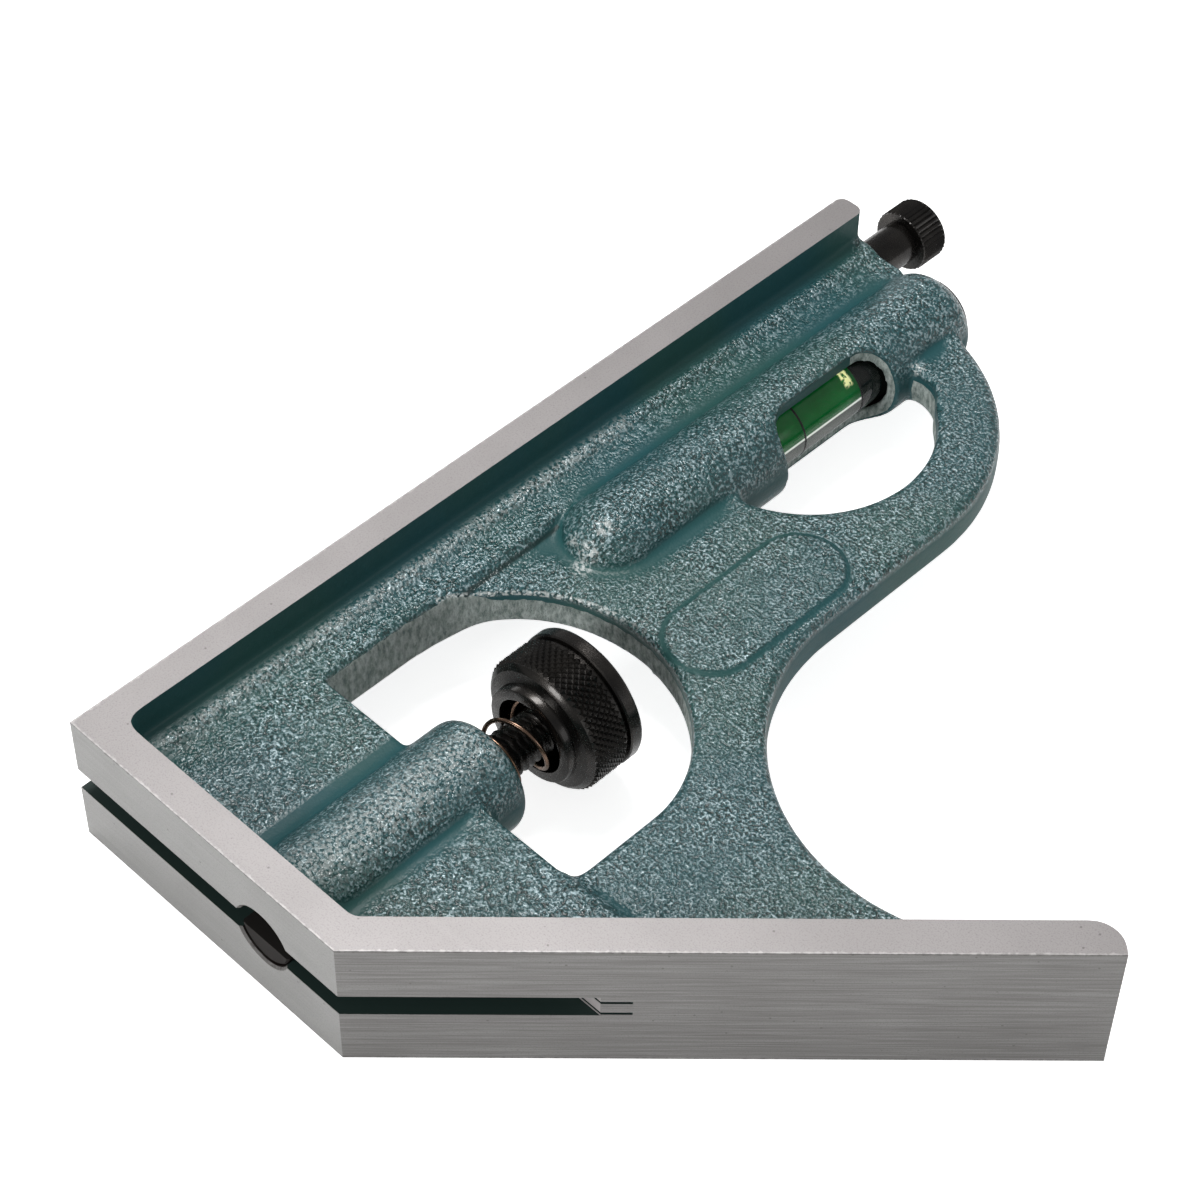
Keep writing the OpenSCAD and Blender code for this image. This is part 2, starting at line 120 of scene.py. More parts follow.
def reshape(obj, x, radiusAt):
    # Moves each point of a turned solid to the radius that radiusAt gives for its y, turn and radius.
    axis = place(x, 0, midZ)
    for v in obj.data.vertices:
        off = v.co - axis
        r = math.hypot(off.x, off.z)
        if r < 0.05 * mm:
            continue
        wanted = radiusAt(v.co.y / mm + cornerAt.y, math.atan2(off.z, off.x), r / mm)
        v.co.x = axis.x + off.x * wanted * mm / r
        v.co.z = axis.z + off.z * wanted * mm / r


def modify(obj, kind, **settings):
    only(obj)
    modifier = obj.modifiers.new(kind.title(), kind)
    for key, value in settings.items():
        setattr(modifier, key, value)
    bpy.ops.object.modifier_apply(modifier=modifier.name)


def combine(obj, other, operation):
    modify(obj, "BOOLEAN", operation=operation, object=other, solver="MANIFOLD")
    bpy.data.objects.remove(other)


def copyOf(node, name):
    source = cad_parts[node]
    obj = bpy.data.objects.new(name, source.data.copy())
    obj.data.materials.clear()
    bpy.context.scene.collection.objects.link(obj)
    editAll(obj)
    bpy.ops.mesh.remove_doubles(threshold=1e-6)
    leaveEdit()
    return obj


def pickEdges(obj, test):
    # Selects the edges whose two ends pass the test, which gets millimetres from the corner.
    only(obj)
    for part in (obj.data.vertices, obj.data.edges, obj.data.polygons):
        for p in part:
            p.select = False
    at = [v.co / mm + cornerAt for v in obj.data.vertices]
    for e in obj.data.edges:
        a, b = at[e.vertices[0]], at[e.vertices[1]]
        e.select = test(a, b)
    bpy.ops.object.mode_set(mode="EDIT")
    bpy.ops.mesh.select_mode(type="EDGE")


def finishPiece(obj, body, material, angle=35):
    only(obj)
    bpy.ops.object.shade_smooth_by_angle(angle=math.radians(angle))
    obj.data.materials.clear()
    obj.data.materials.append(material)
    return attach(obj, body)


# Shader helpers

def addNode(tree, kind, inputs=None, **settings):
    made = tree.nodes.new(kind)
    for key, value in settings.items():
        setattr(made, key, value)
    for key, value in (inputs or {}).items():
        socket = made.inputs[key]
        if isinstance(value, bpy.types.NodeSocket):
            tree.links.new(value, socket)
        else:
            socket.default_value = value
    return made


def maths(tree, operation, a, b=0.0):
    return addNode(tree, "ShaderNodeMath", {0: a, 1: b}, operation=operation).outputs[0]


def times(tree, a, b):
    return maths(tree, "MULTIPLY", a, b)


def plus(tree, a, b):
    return maths(tree, "ADD", a, b)


def minus(tree, a, b):
    return maths(tree, "SUBTRACT", a, b)


def blendOf(tree, factor, a, b, kind="RGBA"):
    # a where the factor is 0, b where it is 1. The node has its own sockets for each kind.
    first, result = {"RGBA": (6, 2), "FLOAT": (2, 0), "VECTOR": (4, 1)}[kind]
    made = addNode(tree, "ShaderNodeMix", {0: factor}, data_type=kind, clamp_factor=True)
    for index, value in ((first, a), (first + 1, b)):
        if isinstance(value, bpy.types.NodeSocket):
            tree.links.new(value, made.inputs[index])
        else:
            made.inputs[index].default_value = value
    return made.outputs[result]


def covered(tree, value, layers, kind="RGBA"):
    # The value with each layer over it where the layer's mask is 1, the last one on top.
    for mask, cover in layers:
        value = blendOf(tree, mask, value, cover, kind)
    return value


def ramp(tree, value, low, high, out0=0.0, out1=1.0):
    return addNode(tree, "ShaderNodeMapRange",
                   {0: value, 1: low, 2: high, 3: out0, 4: out1}, clamp=True).outputs[0]


def noise(tree, vector, scale, detail=2.0, rough=0.5):
    made = addNode(tree, "ShaderNodeTexNoise",
                   {"Vector": vector, "Scale": scale, "Detail": detail, "Roughness": rough})
    return made.outputs[0]


def stretched(tree, vector, scale):
    return addNode(tree, "ShaderNodeMapping", {"Vector": vector, "Scale": scale}).outputs[0]


def laidAlong(tree, vector, degrees):
    # The same place in directions that are turned round Z.
    turn = (0, 0, -math.radians(degrees))
    return addNode(tree, "ShaderNodeMapping", {"Vector": vector, "Rotation": turn}).outputs[0]


def colour(code):
    # A colour as it is written on a screen, made linear.
    parts = [int(code[i:i + 2], 16) / 255 for i in (1, 3, 5)]
    return [p / 12.92 if p <= 0.04045 else ((p + 0.055) / 1.055) ** 2.4 for p in parts] + [1.0]


def newGroup(name, inputs, outputs):
    group = bpy.data.node_groups.new(name, "ShaderNodeTree")
    for label, kind in inputs:
        group.interface.new_socket(name=label, in_out="INPUT", socket_type="NodeSocket" + kind)
    for label, kind in outputs:
        group.interface.new_socket(name=label, in_out="OUTPUT", socket_type="NodeSocket" + kind)
    return group, group.nodes.new("NodeGroupInput").outputs, group.nodes.new("NodeGroupOutput").inputs


def useGroup(tree, group, inputs):
    made = tree.nodes.new("ShaderNodeGroup")
    made.node_tree = group
    for key, value in inputs.items():
        if isinstance(value, bpy.types.NodeSocket):
            tree.links.new(value, made.inputs[key])
        else:
            made.inputs[key].default_value = value
    return made.outputs


def newMaterial(name, **fixed):
    # A material with one Principled shader and the object's place in millimetres.
    material = bpy.data.materials.new(name)
    material.use_nodes = True
    tree = material.node_tree
    shader = tree.nodes["Principled BSDF"]
    for key, value in fixed.items():
        shader.inputs[key.replace("_", " ")].default_value = value
    where = addNode(tree, "ShaderNodeTexCoord").outputs["Object"]
    spot = addNode(tree, "ShaderNodeMapping",
                   {"Vector": where, "Location": cornerAt, "Scale": (1000, 1000, 1000)}).outputs[0]
    return material, tree, shader, spot


def bump(tree, height, strength, distance):
    return addNode(tree, "ShaderNodeBump",
                   {"Height": height, "Strength": strength, "Distance": distance}).outputs[0]


# Shared effects

def makeHammerGroup():
    # Hammered enamel: fine light flecks and dark pits, and smooth where the smoothing input is 1, where it
    # is also a little darker as painted shade
    group, given, out = newGroup(
        "hammeredEnamel",
        [("Spot", "Vector"), ("Scale", "Float"), ("Body", "Color"), ("Greener", "Color"),
         ("Fleck", "Color"), ("PitAndShade", "Color"), ("SmoothAndShaded", "Float")],
        [("Color", "Color"), ("Height", "Float"), ("Roughness", "Float"), ("Metal", "Float")])
    fine = noise(group, given["Spot"], given["Scale"], 1.0, 0.5)
    wide = noise(group, given["Spot"], times(group, given["Scale"], 0.4), 2.0, 0.5)
    coarse = noise(group, given["Spot"], 0.14, 2.0)
    cloud = ramp(group, noise(group, given["Spot"], 0.05, 1.0), 0.42, 0.62, 0.0, 0.35)
    body = blendOf(group, cloud, given["Body"], given["Greener"])
    lively = minus(group, 1.0, given["SmoothAndShaded"])
    height = plus(group, times(group, fine, 0.7), times(group, wide, 0.3))
    patch = times(group, ramp(group, coarse, 0.35, 0.65, 0.55, 1.0), lively)
    pits = times(group, ramp(group, height, 0.48, 0.42), patch)
    flakes = times(group, ramp(group, height, 0.535, 0.60), patch)
    deep = covered(group, body, [(pits, given["PitAndShade"]), (flakes, given["Fleck"]),
                                 (times(group, given["SmoothAndShaded"], 0.12), given["PitAndShade"])])
    group.links.new(times(group, flakes, 0.35), out["Metal"])
    group.links.new(deep, out["Color"])
    group.links.new(times(group, height, ramp(group, lively, 0.0, 1.0, 0.12, 1.0)), out["Height"])
    group.links.new(ramp(group, wide, 0.3, 0.7, 0.26, 0.4), out["Roughness"])
    return group


def makeGrindGroup():
    # Ground iron: fine lines along X of the given spot, faint clouds and small pits
    group, given, out = newGroup(
        "grindLines",
        [("Spot", "Vector"), ("Lines", "Float"), ("Body", "Color"), ("Dark", "Color")],
        [("Color", "Color"), ("Height", "Float"), ("Roughness", "Float")])
    lines = noise(group, stretched(group, given["Spot"], (0.07, 4.2, 4.2)), 1.0, 5.0, 0.65)
    cloud = noise(group, given["Spot"], 0.09, 3.0)
    grit = noise(group, given["Spot"], 5.0, 2.0)
    cells = addNode(group, "ShaderNodeTexVoronoi", {"Vector": given["Spot"], "Scale": 0.42})
    masks = [times(group, ramp(group, lines, 0.62, 0.38), given["Lines"]),
             ramp(group, cloud, 0.35, 0.7, 0.0, 0.15), ramp(group, grit, 0.5, 0.75, 0.0, 0.4),
             ramp(group, cells.outputs["Distance"], 0.075, 0.045, 0.0, 0.7)]
    grey = covered(group, given["Body"], [(mask, given["Dark"]) for mask in masks])
    group.links.new(grey, out["Color"])
    height = plus(group, times(group, lines, given["Lines"]), times(group, grit, 0.12))
    group.links.new(height, out["Height"])
    group.links.new(ramp(group, lines, 0.3, 0.7, 0.46, 0.54), out["Roughness"])
    return group


def makeCastGroup():
    # Bare cast iron where the file went through the skin
    group, given, out = newGroup("bareCast", [("Spot", "Vector"), ("Light", "Color"), ("Dark", "Color")],
                                 [("Color", "Color"), ("Height", "Float")])
    grain = noise(group, stretched(group, given["Spot"], (1.6, 1.6, 0.7)), 1.0, 5.0, 0.7)
    grey = blendOf(group, ramp(group, grain, 0.36, 0.62), given["Dark"], given["Light"])
    group.links.new(grey, out["Color"])
    group.links.new(grain, out["Height"])
    return group


hammered = makeHammerGroup()
grindLines = makeGrindGroup()
bareCast = makeCastGroup()


# Camera, light and floor

studio = {
    "cameraAt": (0.1477553, -0.1925119, 0.2897079),
    "right": (0.70909887, 0.70499649, 0.01259919),
    "up": (-0.52683987, 0.51786052, 0.67398831),
    "back": (0.46863476, -0.4845621, 0.73863457),
    "lens": 93.126,
    "floorSize": 6.0, "floorGrey": 0.86,
    "floorGlow": 0.85, "floorMirror": 0.3,     # how bright the floor shows to the camera, and in the metal
    "world": 0.26,
    "lamps": [
        # name, place, size, power, colour
        ("skyLamp", (-0.155, 0.06, 0.43), 0.15, 1.0, (1.0, 0.99, 0.985)),
        ("frontLamp", (-0.10, -0.62, 0.33), 0.2, 1.7, (1.0, 0.995, 0.985)),
        ("leftLamp", (-0.66, 0.10, 0.12), 0.26, 0.35, (1.0, 1.0, 1.0)),
        ("rightLamp", (0.62, 0.16, 0.25), 0.3, 0.35, (1.0, 1.0, 1.0)),
    ],
}


def makeStudio():
    bpy.ops.object.camera_add()
    camera = settleCamera(bpy.context.object)
    bpy.context.scene.camera = camera
    bpy.ops.mesh.primitive_plane_add(size=studio["floorSize"], location=(0, 0, 0))
    floor = settle("floor")
    material = bpy.data.materials.new("paleFloor")
    material.use_nodes = True
    tree = material.node_tree
    shader = tree.nodes["Principled BSDF"]
    shader.inputs["Base Color"].default_value = (*[studio["floorGrey"]] * 3, 1)
    shader.inputs["Roughness"].default_value = 0.9
    shader.inputs["Specular IOR Level"].default_value = 0.0
    glow = addNode(tree, "ShaderNodeEmission", {"Color": (1, 1, 1, 1)})
    rays = addNode(tree, "ShaderNodeLightPath").outputs
    seen = maths(tree, "MAXIMUM", rays["Is Camera Ray"], rays["Is Transmission Ray"])
    seen = times(tree, seen, studio["floorGlow"])
    mirrored = times(tree, rays["Is Glossy Ray"], studio["floorMirror"])
    tree.links.new(maths(tree, "MAXIMUM", seen, mirrored), glow.inputs["Strength"])
    both = addNode(tree, "ShaderNodeAddShader", {0: shader.outputs[0], 1: glow.outputs[0]})
    tree.links.new(both.outputs[0], tree.nodes["Material Output"].inputs["Surface"])
    floor.data.materials.append(material)
    for name, at, size, power, tint in studio["lamps"]:
        bpy.ops.object.light_add(type="AREA", location=at)
        lamp = bpy.context.object
        lamp.name = name
        lamp.rotation_mode = "QUATERNION"
        lamp.rotation_quaternion = (Vector(at) - Vector((0, 0, 0.01))).to_track_quat("Z", "Y")
        lamp.data.size = size
        lamp.data.energy = power
        lamp.data.color = tint
    world = bpy.context.scene.world or bpy.data.worlds.new("studioWorld")
    bpy.context.scene.world = world
    world.use_nodes = True
    tree = world.node_tree
    sky = tree.nodes["Background"]
    rays = addNode(tree, "ShaderNodeLightPath").outputs
    strength = blendOf(tree, rays["Is Camera Ray"], studio["world"], 1.0, "FLOAT")
    tree.links.new(strength, sky.inputs["Strength"])
    sky.inputs["Color"].default_value = (1, 1, 1, 1)
    bpy.context.scene.view_settings.view_transform = "Standard"
    print("camera, lamps and floor are set")


def settleCamera(camera):
    camera.name = "camera"
    camera.data.sensor_width = 36
    camera.data.lens = studio["lens"]
    camera.data.clip_start = 0.01
    turn = Matrix((studio["right"], studio["up"], studio["back"])).transposed()
    camera.matrix_world = Matrix.Translation(studio["cameraAt"]) @ turn.to_4x4()
    return camera


# The cast head

head = {
    "thick": 20, "base": 44.7, "mitre": 84.8, "square": 131,
    "squareLimb": 4, "baseLimb": 4.5, "mitreLimb": 4.6,
    "spare": 2,                                # how far the rough skin runs past the ground faces
    "voxel": 0.3, "evenPasses": 4, "filletPasses": 24, "faces": 180000,
    "edgePasses": 60, "edgeReach": 2.0, "edgeHalf": 3.4,       # the web's outer edge
    "rimPasses": 45, "rimReach": 1.5, "rimHalf": 4.6,          # the rims of the two windows
    "bay": (73.8, 78.4, 28), "bayEnd": 92,                     # centre and radius of the thumb's bay
    "lobe": (17.6, 100.4, 28.2), "lobeStart": 25,              # and of the web round the sight window
    "webSide": (45.8, 89.4, 11),                               # the straight edge: x, middle, half length
    "crown": (31.6, 42, 20.2, 18.4), "crownFoot": 28.5,        # centre and half axes of the clamp window
    "sight": (19.9, 102.1, 17.15), "sightStart": 24.5,         # centre and radius of the sight window
    "pad": (38, 73.8), "padWidth": 11.8, "padLength": 27.6, "padHeight": 0.3, "webHalf": 3,
    "hollowScale": 0.015, "hollowPasses": 40,
    "slotWidth": 3.3, "slotDepth": 20.2, "reliefWidth": 0.42, "reliefDepth": 2.5, "reliefGap": 2,
    "clampX": 32, "hookBore": 4.1, "hookBoreEnd": 23.5, "stemBore": 3.15, "clampEnd": 34.8,
    "levelX": 17.4, "vialBore": 5, "vialBoreStart": 84.1, "levelEnd": 131.8,
    "scriberX": 4.6, "shankBore": 3, "bushingStart": 88.6, "needleBore": 1.65, "needleEnd": 51,
    "openingStart": 95, "openingEnd": 115.6, "openingX": 19.3,
}
slope = math.sqrt(0.5)  # of the 45 degree face


def bisectMitre(obj, offset):
    # Cuts obj along the 45 degree face, moved outwards by offset, and closes it.
    editAll(obj)
    bpy.ops.mesh.bisect(plane_co=place(head["base"] + offset * slope, -offset * slope, midZ),
                        plane_no=(slope, -slope, 0), use_fill=True, clear_outer=True, clear_inner=False)
    leaveEdit()


def mitreBlock(name, along0, along1, out, inner, low, high):
    # A block set along the 45 degree face, from out outside it to inner inside it.
    lo, hi = Vector((along0, -out, low)), Vector((along1, inner, high))
    bpy.ops.object.select_all(action="DESELECT")
    bpy.ops.mesh.primitive_cube_add(size=1, location=(lo + hi) / 2 * mm)
    bpy.context.object.scale = (hi - lo) * mm
    obj = settle(name)
    corner = Matrix.Translation(place(head["base"], 0, 0))
    obj.matrix_world = corner @ Matrix.Rotation(math.radians(45), 4, "Z")
    only(obj)
    bpy.ops.object.transform_apply(location=True, rotation=True, scale=True)
    return obj


def roundCorner(obj, at, radius):
    # Bevels the upright edge of obj nearest to a point in plan.
    target = Vector(at)
    best = min((v.co / mm + cornerAt for v in obj.data.vertices), key=lambda p: (p.xy - target).length)
    pickEdges(obj, lambda a, b: (a.xy - best.xy).length < 0.05 and (b.xy - best.xy).length < 0.05)
    bpy.ops.mesh.bevel(offset=radius * mm, segments=6, affect="EDGES")
    leaveEdit()


def castSkin(skin):
    # Evens out the voxels, then fillets the inner corners and rounds the web's edge, as the mould does.
    count, links = len(skin.data.vertices), len(skin.data.edges)
    at = np.empty(count * 3)
    skin.data.vertices.foreach_get("co", at)
    at = at.reshape(-1, 3)
    ends = np.empty(links * 2, int)
    skin.data.edges.foreach_get("vertices", ends)
    a, b = ends.reshape(-1, 2).T
    share = 1 / np.maximum(np.bincount(np.concatenate((a, b)), minlength=count), 1)

    def meanRound(value):
        return (np.bincount(a, value[b], count) + np.bincount(b, value[a], count)) * share

    def pull():
        return np.stack([meanRound(at[:, k]) for k in range(3)], 1) - at

    def smooth(passes, weight=1.0):
        for _ in range(passes):
            at[:] += 0.5 * weight * pull()

    def fade(away, reach):
        # 1 on a line, 0 from reach onwards, as a column for smooth
        return np.clip(1.3 * (1 - away / reach), 0, 1)[:, None]

    smooth(head["evenPasses"])
    normals = np.empty(count * 3)
    skin.data.vertices.foreach_set("co", at.ravel())
    skin.data.update()
    skin.data.vertex_normals.foreach_get("vector", normals)
    normals = normals.reshape(-1, 3)
    x, y, z = (at / mm + np.array(cornerAt)).T
    rise = np.abs(z - midZ)

    def arcAway(centre, missing):
        # Distance from an arc, and 9 mm more where missing says that the arc doesn't run.
        cx, cy, radius = centre
        return np.abs(np.hypot(x - cx, y - cy) - radius) + 9 * missing

    bay = arcAway(head["bay"], x > head["bayEnd"])
    lobe = arcAway(head["lobe"], (x < head["lobeStart"]) | (y < head["lobe"][1]))
    cx, cy, half = head["webSide"]
    side = np.abs(x - cx) + 9 * (np.abs(y - cy) > half)
    edge = fade(np.minimum(np.minimum(bay, lobe), side), head["edgeReach"])
    edge *= (rise < head["edgeHalf"])[:, None]
    cx, cy, wide, tall = head["crown"]
    crown = 19 * np.abs(np.hypot((x - cx) / wide, np.maximum(y - cy, 0) / tall) - 1)
    crown += 9 * (y < head["crownFoot"])
    sight = arcAway(head["sight"], x < head["sightStart"])
    rim = fade(np.minimum(crown, sight), head["rimReach"])
    rim *= (rise < head["rimHalf"])[:, None]
    for _ in range(head["filletPasses"]):
        move = pull()
        inward = np.clip((move * normals).sum(1) / (0.02 * mm), 0, 1)  # 1 in a hollow, 0 on a bulge
        at += 0.5 * inward[:, None] * move
    smooth(head["edgePasses"], edge)
    smooth(head["rimPasses"], rim)
    smooth(1)
    # the pad keeps a crisp step
    padX, padY = head["pad"]
    half = head["padLength"] / 2 - head["padWidth"] / 2
    inset = head["padWidth"] / 2 - np.hypot(x - padX, np.maximum(np.abs(y - padY) - half, 0))
    onPad = (inset > -1.4) & (np.abs(rise - head["webHalf"]) < 0.7) & (np.abs(normals[:, 2]) > 0.8)
    top = head["webHalf"] + head["padHeight"] * np.clip(0.5 + inset / 0.5, 0, 1)
    at[onPad, 2] = ((midZ + np.sign(z - midZ) * top) * mm)[onPad]
    # how hollow the skin is round each point: 1 in a small fillet, below 0 on a bulge
    skin.data.vertices.foreach_set("co", at.ravel())
    skin.data.update()
    skin.data.vertex_normals.foreach_get("vector", normals.reshape(-1))
    hollow = np.clip((pull() * normals).sum(1) / (head["hollowScale"] * mm), -1.5, 1.5)
    for _ in range(head["hollowPasses"]):
        hollow = meanRound(hollow)
    return at, hollow


def keepHollow(obj, at, hollow):
    # Gives each point of the cut casting the hollowness of the nearest point of the skin.
    tree = kdtree.KDTree(len(at))
    for number, spot in enumerate(at.tolist()):
        tree.insert(spot, number)
    tree.balance()
    values = [hollow[tree.find(v.co)[1]] for v in obj.data.vertices]
    obj.data.attributes.new("hollow", "FLOAT", "POINT").data.foreach_set("value", values)


def makeHead():
    spare, low, high = head["spare"], -head["spare"], head["thick"] + head["spare"]
    skin = copyOf("head_casting", "headCasting")
    # stock beyond the ground faces, which the last cuts take off
    stock = [block("squareStock", (low, low, low), (head["squareLimb"], head["square"] - 1.5, high)),
             block("squareEnd", (0, head["square"] - 12, low), (head["squareLimb"], head["square"], high)),
             block("baseStock", (low, low, low), (head["base"] + 1.2, head["baseLimb"], high)),
             mitreBlock("mitreStock", 0, head["mitre"], spare, head["mitreLimb"], low, high),
             block("slotFill", (low, low, midZ - 2.2), (90, head["slotDepth"] + 2.9, midZ + 2.2))]
    roundCorner(stock[1], (0, head["square"]), 1.2)
    roundCorner(stock[1], (head["squareLimb"], head["square"]), 1.2)
    along, inner = head["mitre"] * slope, head["mitreLimb"] * slope
    roundCorner(stock[3], (head["base"] + along - inner, along + inner), 3.6)
    bisectMitre(stock[2], spare)
    bisectMitre(stock[4], spare)
    x, shankStart = head["clampX"], head["bushingStart"]
    stock += [bar("hookFill", x, low, head["hookBoreEnd"] + 0.3, head["hookBore"] + 0.3),
              bar("stemFill", x, head["hookBoreEnd"] - 1, head["clampEnd"], head["stemBore"] + 0.3),
              bar("shankFill", head["scriberX"], shankStart - 1, head["square"], head["shankBore"] + 0.3)]
    only(skin)
    for piece in stock:
        piece.select_set(True)
    bpy.ops.object.join()
    modify(skin, "REMESH", mode="VOXEL", voxel_size=head["voxel"] * mm)
    print("rough casting:", len(skin.data.polygons), "faces")
    skinPoints, skinHollow = castSkin(skin)
    # ground faces
    envelope = block("groundFaces", (0, 0, 0), (130, 150, head["thick"]))
    bisectMitre(envelope, 0)
    combine(skin, envelope, "INTERSECT")
    # slot, relief cuts and bores
    slotLow, slotHigh = midZ - head["slotWidth"] / 2, midZ + head["slotWidth"] / 2
    combine(skin, block("ruleSlot", (-5, -5, slotLow), (120, head["slotDepth"], slotHigh)), "DIFFERENCE")
    seat, deep, half = head["slotDepth"], head["slotDepth"] + head["reliefDepth"], head["reliefWidth"] / 2
    for side in (1, -1):
        z = midZ - 0.3 + side * head["reliefGap"] / 2
        relief = block("relief", (-5, seat - 0.5, z - half), (120, deep, z + half))
        combine(skin, relief, "DIFFERENCE")
    vialEnd = head["levelEnd"] + 2
    cuts = [bar("hookBore", x, -1, head["hookBoreEnd"], head["hookBore"]),
            bar("hookMouth", x, -1, 0.35, head["hookBore"] + 1.35, head["hookBore"]),
            bar("stemBore", x, 20, head["clampEnd"] + 2, head["stemBore"]),
            bar("vialBore", head["levelX"], head["vialBoreStart"], vialEnd, head["vialBore"], sides=128),
            bar("shankBore", head["scriberX"], shankStart, head["square"] + 2, head["shankBore"]),
            bar("needleBore", head["scriberX"], head["needleEnd"], shankStart + 1, head["needleBore"])]
    for cut in cuts:
        combine(skin, cut, "DIFFERENCE")
    print("casting cut:", len(skin.data.polygons), "faces")
    count = sum(len(p.vertices) - 2 for p in skin.data.polygons)
    modify(skin, "DECIMATE", ratio=min(1.0, head["faces"] / count))
    keepHollow(skin, skinPoints, skinHollow)
    print("casting:", len(skin.data.polygons), "faces")
    finishPiece(skin, "head", castingFinish(), 40)
    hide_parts("head_casting")


castingColours = {
    # in this row, the near white is for painted highlights, and the darkest teal is for the enamel's pits
    # and for painted shade
    "body": "#2c5d62", "greener": "#3d6350", "fleck": "#a8c0c6", "pitAndShade": "#12302f", "paintedHighlight": "#dde5e4",
    "ground": "#b0acac", "groundBase": "#b5b5b4", "groundMitre": "#a3a2a1", "groundDark": "#767472",
    "burrAndHighlight": "#f4f2f1", "edge": "#5b5957",
    "bareLight": "#d2dcd8", "bareDark": "#7c8c88",
    "slot": "#2a3a37", "bore": "#1c1613",
}
# sizes and places of the casting's texture and of its bare and worn places, and of its painted shade and
# painted highlights
castingWearAndPaintedLight = {
    "enamelScale": 2.7,
    "paintEdge": 1.3, "paintEdgeNearLand": 3.4,    # how far above the middle the windows' walls turn bare
    "crownReach": 0.7, "sightReach": 1.05,         # how far past the rims that can be
    "landsTop": (30.5, 28.5), "landsSide": (15, 11.8),   # where the lands begin, in y and in x
    "barrel": 7.6, "barrelEnd": 36, "windowFoot": 27.2,  # the clamp barrel, and the window's foot
    "clampTip": 7.0, "tipTop": 8.5,                # the bare end of the clamp barrel
    "sightFoot": 24.7, "openingDepth": 6.5, "openingTip": 111.5,
    # the painted shade along the inner corner beside the scriber's land
    "paintedCreaseShade": (12.5, 49, 65.5),                    # x, and from and to in y
    "lines": {"base": 0.22, "sides": 0.05, "mitre": 0.65},
    # more places where highlights are painted on
    "glints": [
        # place, radius, amount
        ((18.8, 64.4, 14.5), 1.7, 1.0), ((19.2, 62.7, 13), 1.6, 0.8), ((18.5, 67.3, 16.5), 1.5, 0.7),
        ((16.2, 64.3, 14.5), 1.2, 0.6), ((24.7, 118.8, 13), 1.2, 0.8),
    ],
}


